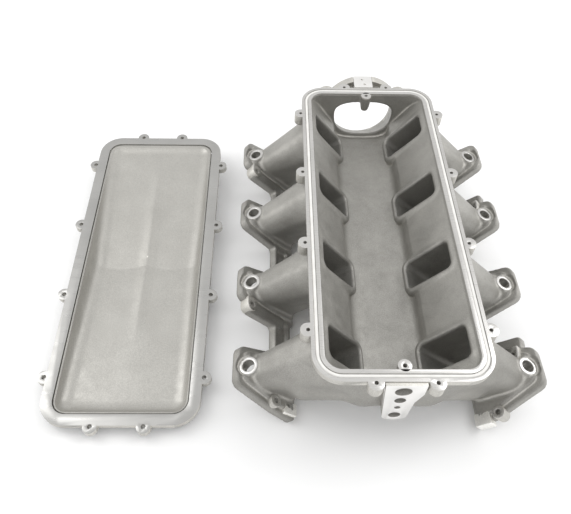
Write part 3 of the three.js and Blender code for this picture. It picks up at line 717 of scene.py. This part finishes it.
def add_rear_webs(metal):
    """Broad webs from the rear wall out to the last runner on each side."""
    for side in (-1, 1):
        ends = [(side * x, y, z) for x, y, z in WEB]
        window = bank_window(side, -190, 46, 0)
        metal.add(lambda x, y, z: cone_distance((x, y, z), *ends, WEB_RADII, 1), *window, 14)


def add_lug_bars(metal):
    """Thick shoulders from the lugs down to the rails."""
    for side, row, way in LUG_ROWS:
        y0 = runner_y(row)
        window = bank_window(side, y0 + way * BAR_REACH, 22)
        start = (BAR_START, y0 + way * BAR_REACH)
        end = (RAIL_MIDDLE + 6, y0 + way * (FLANGE_HALF_FOOT + 3))
        metal.add(bar_shape(side, start, end, BAR_HALF_WIDTH, (0, BAR_HEIGHT), 3), *window, 4)


def throat_distance(x, y, z, growth):
    """A bore that is round at the throttle and squarer, flatter and highest at the top at the plenum."""
    share = np.clip((y - INNER_HALF[1]) / (THROTTLE_FACE - INNER_HALF[1]), 0, 1)
    half_x = THROAT_HALF[0] + (BORE_RADIUS - THROAT_HALF[0]) * share + growth
    half_z = THROAT_HALF[1] + (BORE_RADIUS - THROAT_HALF[1]) * share + growth
    lift = THROAT_LIFT * (1 - share)
    off = depth_of(z) - THROAT_DEPTH - (BORE_DEPTH - THROAT_DEPTH) * share + lift
    half = np.where(off > 0, half_z + lift, half_z - lift)
    power = 2 + 0.6 * (1 - share)
    reach = (np.abs(x / half_x) ** power + np.abs(off / half) ** power) ** (1 / power)
    return (reach - 1) * np.minimum(half_x, half_z)


def add_throttle_neck(metal):
    def neck(x, y, z):
        length = between(y, INNER_HALF[1], THROTTLE_FACE - 8)
        return soft_max(throat_distance(x, y, z, WALL), length, 1)

    metal.add(neck, (-70, 200, 20), (70, 252, RIM_TOP), 6)


def cut_throat(metal):
    def throat(x, y, z):
        return soft_max(throat_distance(x, y, z, 0), between(y, 200, 256), 0.5)

    metal.cut(throat, (-60, 196, 20), (60, 254, RIM_TOP), 2)


def add_inner_boss(metal, y0):
    """A column that hangs from the rim's level and tapers, with a blind screw hole."""

    def boss(x, y, z):
        taper = np.clip((RIM_TOP - z) / (INNER_BOSS_HEIGHT + 2), 0, 1)
        radius = INNER_BOSS_RADIUS * (1 - 0.45 * taper**3)
        height = between(z, RIM_TOP - INNER_BOSS_HEIGHT, RIM_TOP - 1)
        return soft_max(np.hypot(x, y - y0) - radius, height, 2)

    def hole(x, y, z):
        depth = between(z, RIM_TOP - SCREW_DEPTH, RIM_TOP + 9)
        return np.maximum(np.hypot(x, y - y0) - SCREW_RADIUS, depth)

    metal.add(boss, (-14, y0 - 14, RIM_TOP - 34), (14, y0 + 14, RIM_TOP + 2), 2.5)
    metal.cut(hole, (-6, y0 - 6, RIM_TOP - 16), (6, y0 + 6, RIM_TOP + 2))


def flatten_top(metal):
    """Levels the metal under the machined rim and stands the plenum's neck inside it."""

    def above(x, y, z):
        return RIM_TOP - RIM_THICKNESS + LAND_GAP - z

    def neck(x, y, z):
        plan = rectangle_distance(x, y, INNER_HALF[0] + 1, INNER_HALF[1] + 1, INNER_CORNER + 1)
        return soft_max(plan, between(z, RIM_TOP - 14, RIM_TOP - 0.6), 0.5)

    metal.cut(above, (-178, -236, RIM_TOP - 20), (178, 254, RIM_TOP + 3), 0.5)
    metal.add(neck, (-90, -224, RIM_TOP - 20), (90, 224, RIM_TOP + 3))


def add_tongue(metal, side, y0):
    """The end of a runner inside the plenum, with a rounded bead that rises towards the floor."""
    tongue = passage_shape(side, y0, TONGUE_WALL, TONGUE_CORNER, (40, 140))

    def standing(x, y, z):
        depth = depth_of(z)
        rise = LIP_RISE + BEAD_RISE * np.clip((depth - BEAD_START) / BEAD_REACH, 0, 1)
        lip = (side * x - slope_x(depth) + rise) * -LIP_LEAN
        return soft_max(tongue(x, y, z), lip, 7)

    low_x, high_x = sorted((side * 18, side * 84))
    metal.add(standing, (low_x, y0 - 30, 48), (high_x, y0 + 30, 134), 2.5)


def cut_passages(metal, side, y0):
    window = bank_window(side, y0, 30)
    metal.cut(passage_shape(side, y0, 0, PORT_CORNER, (-4, 128)), *window, 3.5)
    metal.cut(injector_shape(side, y0, INJECTOR_RADIUS + 1.5, -0.4, 30), *window, 1.5)
    metal.cut(injector_shape(side, y0, INJECTOR_BORE + 0.2, -24, 4), *window, 0.5)


def base_metal(cell):
    metal = Metal((-178, -236, -4), (178, 254, RIM_TOP + 3), cell)
    whole = ((-100, -232, 40), (100, 232, RIM_TOP + 3))
    banks = [(side, row) for side in (-1, 1) for row in range(ROWS)]
    metal.add(plenum_shape(WALL, END_FACE, INNER_CORNER + WALL, OPEN_TOP, 18), *whole)
    for side, row in banks:
        add_runner_outside(metal, side, row)
    for side in (-1, 1):
        add_rails(metal, side)
    add_lug_bars(metal)
    add_rear_webs(metal)
    add_throttle_neck(metal)
    flatten_top(metal)
    metal.cut(plenum_shape(-0.5, INNER_HALF[1] - 0.5, INNER_CORNER, 9, 1), *whole, 2)
    for side, row in banks:
        add_tongue(metal, side, runner_y(row))
    for side, row in banks:
        cut_passages(metal, side, runner_y(row))
    cut_throat(metal)
    for way in (-1, 1):
        add_inner_boss(metal, way * (INNER_HALF[1] - INNER_BOSS_INSET))
    return metal


def add_base_casting():
    mesh = base_metal(FINE_CELL).mesh("base_casting")
    mesh.shade_smooth()
    starts = ("plenum_floor", "plenum_wall", "plenum_end", "runner_", "head_flange", "flange_rail",
              "throttle_neck")
    nodes = [n for n in frame["nodes"] if n.startswith(starts)]
    piece("base_casting", mesh, CAST, "base", nodes, in_base())


# ---- Machined pieces ------------------------------------------------------------------------------
def rim_line(inset):
    """The rim's outline, moved in by a distance."""
    return rectangle(RIM_HALF[0] - inset, RIM_HALF[1] - inset, RIM_CORNER - inset)


def rim_mesh(hole_radius, ear_height, groove):
    parts = [("UNION", prism(circle(EAR_RADIUS, p), -ear_height, 0)) for p in screw_places()]
    opening = rectangle(*INNER_HALF, INNER_CORNER)
    parts.append(("DIFFERENCE", prism(opening, -ear_height - 1, 1)))
    if groove:
        island = prism(rim_line(GROOVE_INSET + GROOVE_WIDTH), -GROOVE_DEPTH - 1, 2)
        ring = combined(prism(rim_line(GROOVE_INSET), -GROOVE_DEPTH, 1), [("DIFFERENCE", island)])
        parts.append(("DIFFERENCE", ring))
    for place in screw_places():
        parts.append(("DIFFERENCE", prism(circle(hole_radius, place, 24), -ear_height - 1, 1)))
    mesh = combined(prism(rectangle(*RIM_HALF, RIM_CORNER), -RIM_THICKNESS, 0), parts)
    return soften_edges(mesh, 0.5)


def add_rim():
    place = in_base(Matrix.Translation((0, 0, RIM_TOP)))
    mesh = rim_mesh(SCREW_RADIUS, EAR_HEIGHT, True)
    piece("rim_face", mesh, MILLED, "base", ["plenum_rim"], place, CAST)


def add_seal():
    """A cord with a crowned top, lying in the groove."""
    half_width = GROOVE_WIDTH / 2 - 0.2
    middle = GROOVE_INSET + GROOVE_WIDTH / 2
    profile = []
    for k in range(9):
        turn = math.pi * k / 8
        profile.append((half_width * math.cos(turn), -1.4 + 1.3 * math.sin(turn)))
    profile += [(-half_width, -GROOVE_DEPTH + 0.05), (half_width, -GROOVE_DEPTH + 0.05)]
    bm = bmesh.new()
    loops = []
    for across, height in profile:
        loops.append([bm.verts.new((x, y, height)) for x, y in rim_line(middle - across)])
    count = len(loops[0])
    for k, loop in enumerate(loops):
        following = loops[(k + 1) % len(loops)]
        for i in range(count):
            after = (i + 1) % count
            bm.faces.new((loop[i], loop[after], following[after], following[i]))
    bmesh.ops.recalc_face_normals(bm, faces=bm.faces)
    mesh = bpy.data.meshes.new("seal")
    bm.to_mesh(mesh)
    bm.free()
    mesh.shade_smooth()
    place = in_base(Matrix.Translation((0, 0, RIM_TOP)))
    piece("rim_seal_cord", mesh, RUBBER, "base", ["rim_seal"], place)


def add_inner_boss_tops():
    for way, word in ((-1, "rear"), (1, "throttle")):
        hole = prism(circle(SCREW_RADIUS, sides=24), -6, 1)
        column = prism(circle(INNER_BOSS_RADIUS, sides=40), -INNER_BOSS_TOP, 0)
        mesh = combined(column, [("DIFFERENCE", hole)])
        place = in_base(Matrix.Translation((0, way * (INNER_HALF[1] - INNER_BOSS_INSET), RIM_TOP)))
        name = f"inner_boss_{word}"
        piece(f"{name}_top", soften_edges(mesh, 0.6), MILLED, "base", [name], place, CAST)


def add_injector_rings():
    for side, word in SIDES:
        for row in range(ROWS):
            tool = prism(circle(INJECTOR_BORE, sides=48), -RING_HEIGHT - 2, 1)
            ring = prism(circle(INJECTOR_RADIUS, sides=64), -RING_HEIGHT, 0)
            mesh = combined(ring, [("DIFFERENCE", tool)])
            mesh = soften_edges(mesh, 1.1, 3)
            at = Matrix.Translation((INJECTOR_X, runner_y(row), RIM_TOP - INJECTOR_DEPTH))
            turn = mirror(side) @ at @ Matrix.Rotation(INJECTOR_TILT, 4, "Y")
            numbers = f"{word}_{row + 1}"
            nodes = [f"injector_boss_{numbers}"]
            piece(f"injector_ring_{numbers}", mesh, MILLED, "base", nodes, in_base(turn), CAST)


def add_rail_lugs():
    """Square at the throttle end and round at the rear end, with a screw hole."""
    turns = np.linspace(math.pi, 2 * math.pi, 13)
    outline = [(LUG_RADIUS * math.cos(t), LUG_RADIUS * math.sin(t) - 1) for t in turns]
    outline += [(LUG_RADIUS, LUG_LENGTH - LUG_RADIUS), (-LUG_RADIUS, LUG_LENGTH - LUG_RADIUS)]
    for side, row, way in LUG_ROWS:
        word = "left" if side < 0 else "right"
        top = LUG_TOPS[side]
        hole = prism(circle(LUG_HOLE, (0, -1), 24), 4, top + 1)
        mesh = soften_edges(combined(prism(outline, 0.5, top), [("DIFFERENCE", hole)]), 0.9)
        up, reach = LUG_SPOTS[side]
        place = in_base(on_bank(side, up, runner_y(row) + way * reach))
        name = f"rail_lug_{word}_{row + 1}"
        piece(f"{name}_machined", mesh, MILLED, "base", [name], place, CAST)


def add_foot_fittings():
    """A screw boss and a flat pad on the last flange of each bank."""
    for side, word in SIDES:
        up, shift = FOOT_SPOTS[side]
        y0 = runner_y(ROWS - 1) - FOOT_REACH + shift
        hole = prism(circle(FOOT_HOLE, sides=28), 4, FOOT_BOSS_TOP + 1)
        mesh = combined(prism(circle(LUG_RADIUS, sides=40), 1, FOOT_BOSS_TOP), [("DIFFERENCE", hole)])
        name = f"foot_boss_{word}"
        place = in_base(on_bank(side, up, y0))
        piece(f"{name}_machined", soften_edges(mesh, 1), MILLED, "base", [name], place, CAST)
        mesh = soften_edges(prism(rectangle(*PAD_HALF, 1.5), 1, PAD_TOP), 1)
        name = f"foot_pad_{word}"
        place = in_base(on_bank(side, 10, y0 - 2))
        piece(f"{name}_machined", mesh, CAST_BRIGHT, "base", [name], place)


def along_y(start, end):
    """The two heights of a prism that is later turned to lie along Y."""
    return -end, -start


UPRIGHT = Matrix.Rotation(math.pi / 2, 4, "X")


def block_outline():
    """The block's face in X and Z: it tapers down to a round foot, with a shoulder on the right."""
    steps = 10
    outline = [(-20.5, RIM_TOP - 1), (-14, RIM_TOP - 75)]
    for k in range(1, steps):
        turn = math.pi * k / steps
        outline.append((-1 - 13 * math.cos(turn), RIM_TOP - 75 - 9 * math.sin(turn)))
    outline += [(12, RIM_TOP - 75), (14, RIM_TOP - 40), (20, RIM_TOP - 21), (20, RIM_TOP - 1)]
    return outline


def add_port_block():
    outline = block_outline()
    front = prism(outline, *along_y(BLOCK_FACE, -RIM_HALF[1] - BLOCK_STEP))
    lower = [(x, min(z, RIM_TOP - RIM_THICKNESS - BLOCK_STEP)) for x, z in outline]
    back = prism(lower, *along_y(-RIM_HALF[1] - 1, -END_FACE + 1))
    parts = [("UNION", back)]
    span = along_y(BLOCK_FACE - 1, BLOCK_FACE + BLOCK_PORT_LENGTH)
    for radius, depth in BLOCK_PORTS:
        parts.append(("DIFFERENCE", prism(circle(radius, (BLOCK_PORT_X, RIM_TOP - depth), 36), *span)))
    mesh = soften_edges(combined(front, parts), 0.5)
    # The block's sides and the walls of its shallow bores take the darker cast skin; inside the bores
    # that darkness is painted shade.
    piece("rear_port_face", mesh, WHITE_MILLED, "base", ["rear_port_block"], in_base(UPRIGHT), CAST)


def add_throttle_flange():
    middle = RIM_TOP - BORE_DEPTH
    bolt_x, bolt_z = THROTTLE_BOLT
    corners = [(sx * bolt_x, middle + sz * bolt_z) for sx in (-1, 1) for sz in (-1, 1)]
    span = along_y(THROTTLE_FACE - FLANGE_DEPTH, THROTTLE_FACE)
    through = (span[0] - 1, span[1] + 1)
    parts = [("UNION", prism(circle(FLANGE_EAR, corner, 32), *span)) for corner in corners]
    parts.append(("DIFFERENCE", prism(circle(BORE_RADIUS, (0, middle), 64), *through)))
    parts += [("DIFFERENCE", prism(circle(FLANGE_HOLE, corner, 24), *through)) for corner in corners]
    left, right = SENSOR_PAD_X - 13.3, SENSOR_PAD_X + 13.3
    low, high = RIM_TOP - 8.3, RIM_TOP + 9
    pad_space = [(left, high), (left, low), (right, low), (right, high)]
    parts.append(("DIFFERENCE", prism(pad_space, *through)))
    mesh = combined(prism(circle(FLANGE_DISC, (0, middle), 96), *span), parts)
    mesh = soften_edges(mesh, 0.8)
    piece("throttle_face_ring", mesh, MILLED, "base", ["throttle_flange"], in_base(UPRIGHT), CAST)


def add_sensor_pad():
    top = RIM_TOP + SENSOR_PAD_RISE
    parts = []
    for screw in SENSOR_SCREWS:
        parts.append(("DIFFERENCE", prism(circle(SENSOR_SCREW_RADIUS, screw, 20), top - 6, top + 1)))
    plate = prism(rectangle(*SENSOR_PAD_HALF, 1.2), top - SENSOR_PAD_THICKNESS, top)
    mesh = soften_edges(combined(plate, parts), 0.5)
    place = Matrix.Translation((SENSOR_PAD_X, (RIM_HALF[1] + 0.4 + THROTTLE_FACE) / 2, 0))
    piece("sensor_pad_face", mesh, WHITE_MILLED, "base", ["throttle_sensor_pad"], in_base(place))


# ---- Lid ------------------------------------------------------------------------------------------
# In the lid's own frame its machined face is at Z = 0 and its roof is below.
def rising_roof(y, bend, thickness):
    """Falls gently from the rear to the bend, and then rises to the throttle end."""
    rear = -LID_DEPTH + thickness - y * math.tan(LID_TAPER)
    low = -LID_DEPTH + thickness - bend * math.tan(LID_TAPER)
    ahead = low + (y - bend) * (-LID_END_DEPTH + thickness - low) / (END_FACE - bend)
    return np.maximum(rear, ahead)


def lid_inside(x, y):
    """Height of the inner face: two long hollows side by side, with a low ridge between them."""
    lobe = np.clip(1 - np.abs(np.abs(x) - LOBE_MIDDLE) / LOBE_MIDDLE, 0, 1)
    height = rising_roof(y, LID_BEND - 5 - 6 * lobe**0.7, LID_ROOF)
    fade = np.clip((y + 110) / 90, 0, 1) * np.clip((165 - y) / 90, 0, 1)
    ridge = RIDGE_HEIGHT * np.exp(-((x / RIDGE_WIDTH) ** 2)) * fade
    ends = np.clip((y + 150) / 120, 0, 1) * np.clip((205 - y) / 60, 0, 1)
    hollow = HOLLOW_DEPTH * (1 - ((np.abs(x) - HOLLOW_MIDDLE) / HOLLOW_MIDDLE) ** 2) * ends
    return height + ridge - hollow


def lid_block(inset):
    """A block that tapers downwards, set in from the rim's opening."""

    def shape(x, y, z):
        lean = inset + LID_DRAFT * -z
        half_x, half_y = INNER_HALF[0] - lean, INNER_HALF[1] - lean
        return rectangle_distance(x, y, half_x, half_y, INNER_CORNER - inset) * 0.95

    return shape


def lid_metal(cell):
    whole = ((-86, -220, -LID_DEPTH - 9), (86, 220, 3))
    metal = Metal(*whole, cell)

    def outer(x, y, z):
        body = soft_max(lid_block(-LID_WALL)(x, y, z), z + RIM_THICKNESS, 0.5)
        heights = np.maximum(z + LIP_DEPTH, -z - RIM_THICKNESS - 2)
        lip = soft_max(lid_block(0.4)(x, y, z), heights, 0.5)
        return soft_max(np.minimum(body, lip), rising_roof(y, LID_BEND, 0) - z, 3)

    def hollow(x, y, z):
        return soft_max(lid_block(LID_INSET)(x, y, z), lid_inside(x, y) - z, LID_FILLET)

    metal.add(outer, *whole)
    metal.cut(hollow, *whole, 0.6)
    return metal


def add_lid():
    mesh = lid_metal(FINE_LID_CELL).mesh("lid_casting")
    mesh.shade_smooth()
    piece("lid_casting", mesh, LID_CAST, "lid", ["lid_shell"], lid_place())
    mesh = rim_mesh(CLEARANCE_RADIUS, RIM_THICKNESS, False)
    piece("lid_face", mesh, BRUSHED, "lid", ["lid_rim"], lid_place(), CAST)


add_base_casting()
add_rim()
add_seal()
add_inner_boss_tops()
add_injector_rings()
add_rail_lugs()
add_foot_fittings()
add_port_block()
add_throttle_flange()
add_sensor_pad()
add_lid()


# ---- Stage, light and camera ------------------------------------------------------------------------
def add_floor():
    mesh = bpy.data.meshes.new("floor")
    half = 6
    corners = [(-half, -half, 0), (half, -half, 0), (half, half, 0), (-half, half, 0)]
    mesh.from_pydata(corners, [], [(0, 1, 2, 3)])
    floor = bpy.data.objects.new("floor", mesh)
    bpy.context.scene.collection.objects.link(floor)
    mesh.materials.append(new_material("floor_paper", (0.93, 0.93, 0.93), 0, 0.9)[0])
    floor.location.z = CAD_BOX[0][2] - 0.0003


def add_light(name, place, target, size, power):
    data = bpy.data.lights.new(name, "AREA")
    data.shape = "RECTANGLE"
    data.size = size[0]
    data.size_y = size[1]
    data.energy = power
    light = bpy.data.objects.new(name, data)
    light.location = place
    light.rotation_euler = (Vector(target) - Vector(place)).to_track_quat("-Z", "Y").to_euler()
    bpy.context.scene.collection.objects.link(light)


def add_world(strength):
    world = bpy.data.worlds.new("studio")
    world.use_nodes = True
    back = world.node_tree.nodes["Background"]
    back.inputs["Color"].default_value = (1, 1, 1, 1)
    back.inputs["Strength"].default_value = strength
    bpy.context.scene.world = world


def add_camera():
    """Stands behind the rear end, to the left of the base, and looks down at both castings."""
    place = BASE + Vector((-125.46, -461.31, RIM_TOP + 505.68)) * MM
    pitch, yaw, roll = math.radians(52.73), math.radians(-1.65), math.radians(1.60)
    level_ahead = Vector((-math.sin(yaw), math.cos(yaw), 0))
    ahead = level_ahead * math.cos(pitch) - Vector((0, 0, math.sin(pitch)))
    right = Vector((math.cos(yaw), math.sin(yaw), 0))
    up = right.cross(ahead)
    tilted_right = math.cos(roll) * right + math.sin(roll) * up
    tilted_up = -math.sin(roll) * right + math.cos(roll) * up
    turn = Matrix((tilted_right, tilted_up, -ahead)).transposed().to_4x4()
    data = bpy.data.cameras.new("camera")
    data.sensor_width = 36
    data.lens = 36.57
    camera = bpy.data.objects.new("camera", data)
    camera.matrix_world = Matrix.Translation(place) @ turn
    bpy.context.scene.collection.objects.link(camera)
    bpy.context.scene.camera = camera


add_camera()
add_floor()
add_world(1.0)
add_light("left_box", (-0.95, 0.15, 0.75), (-0.15, 0, 0.05), (0.5, 1.2), 4)
add_light("right_box", (0.95, 0.15, 0.85), (0.12, 0, 0.05), (0.5, 1.2), 5)
bpy.context.scene.view_settings.view_transform = "Standard"
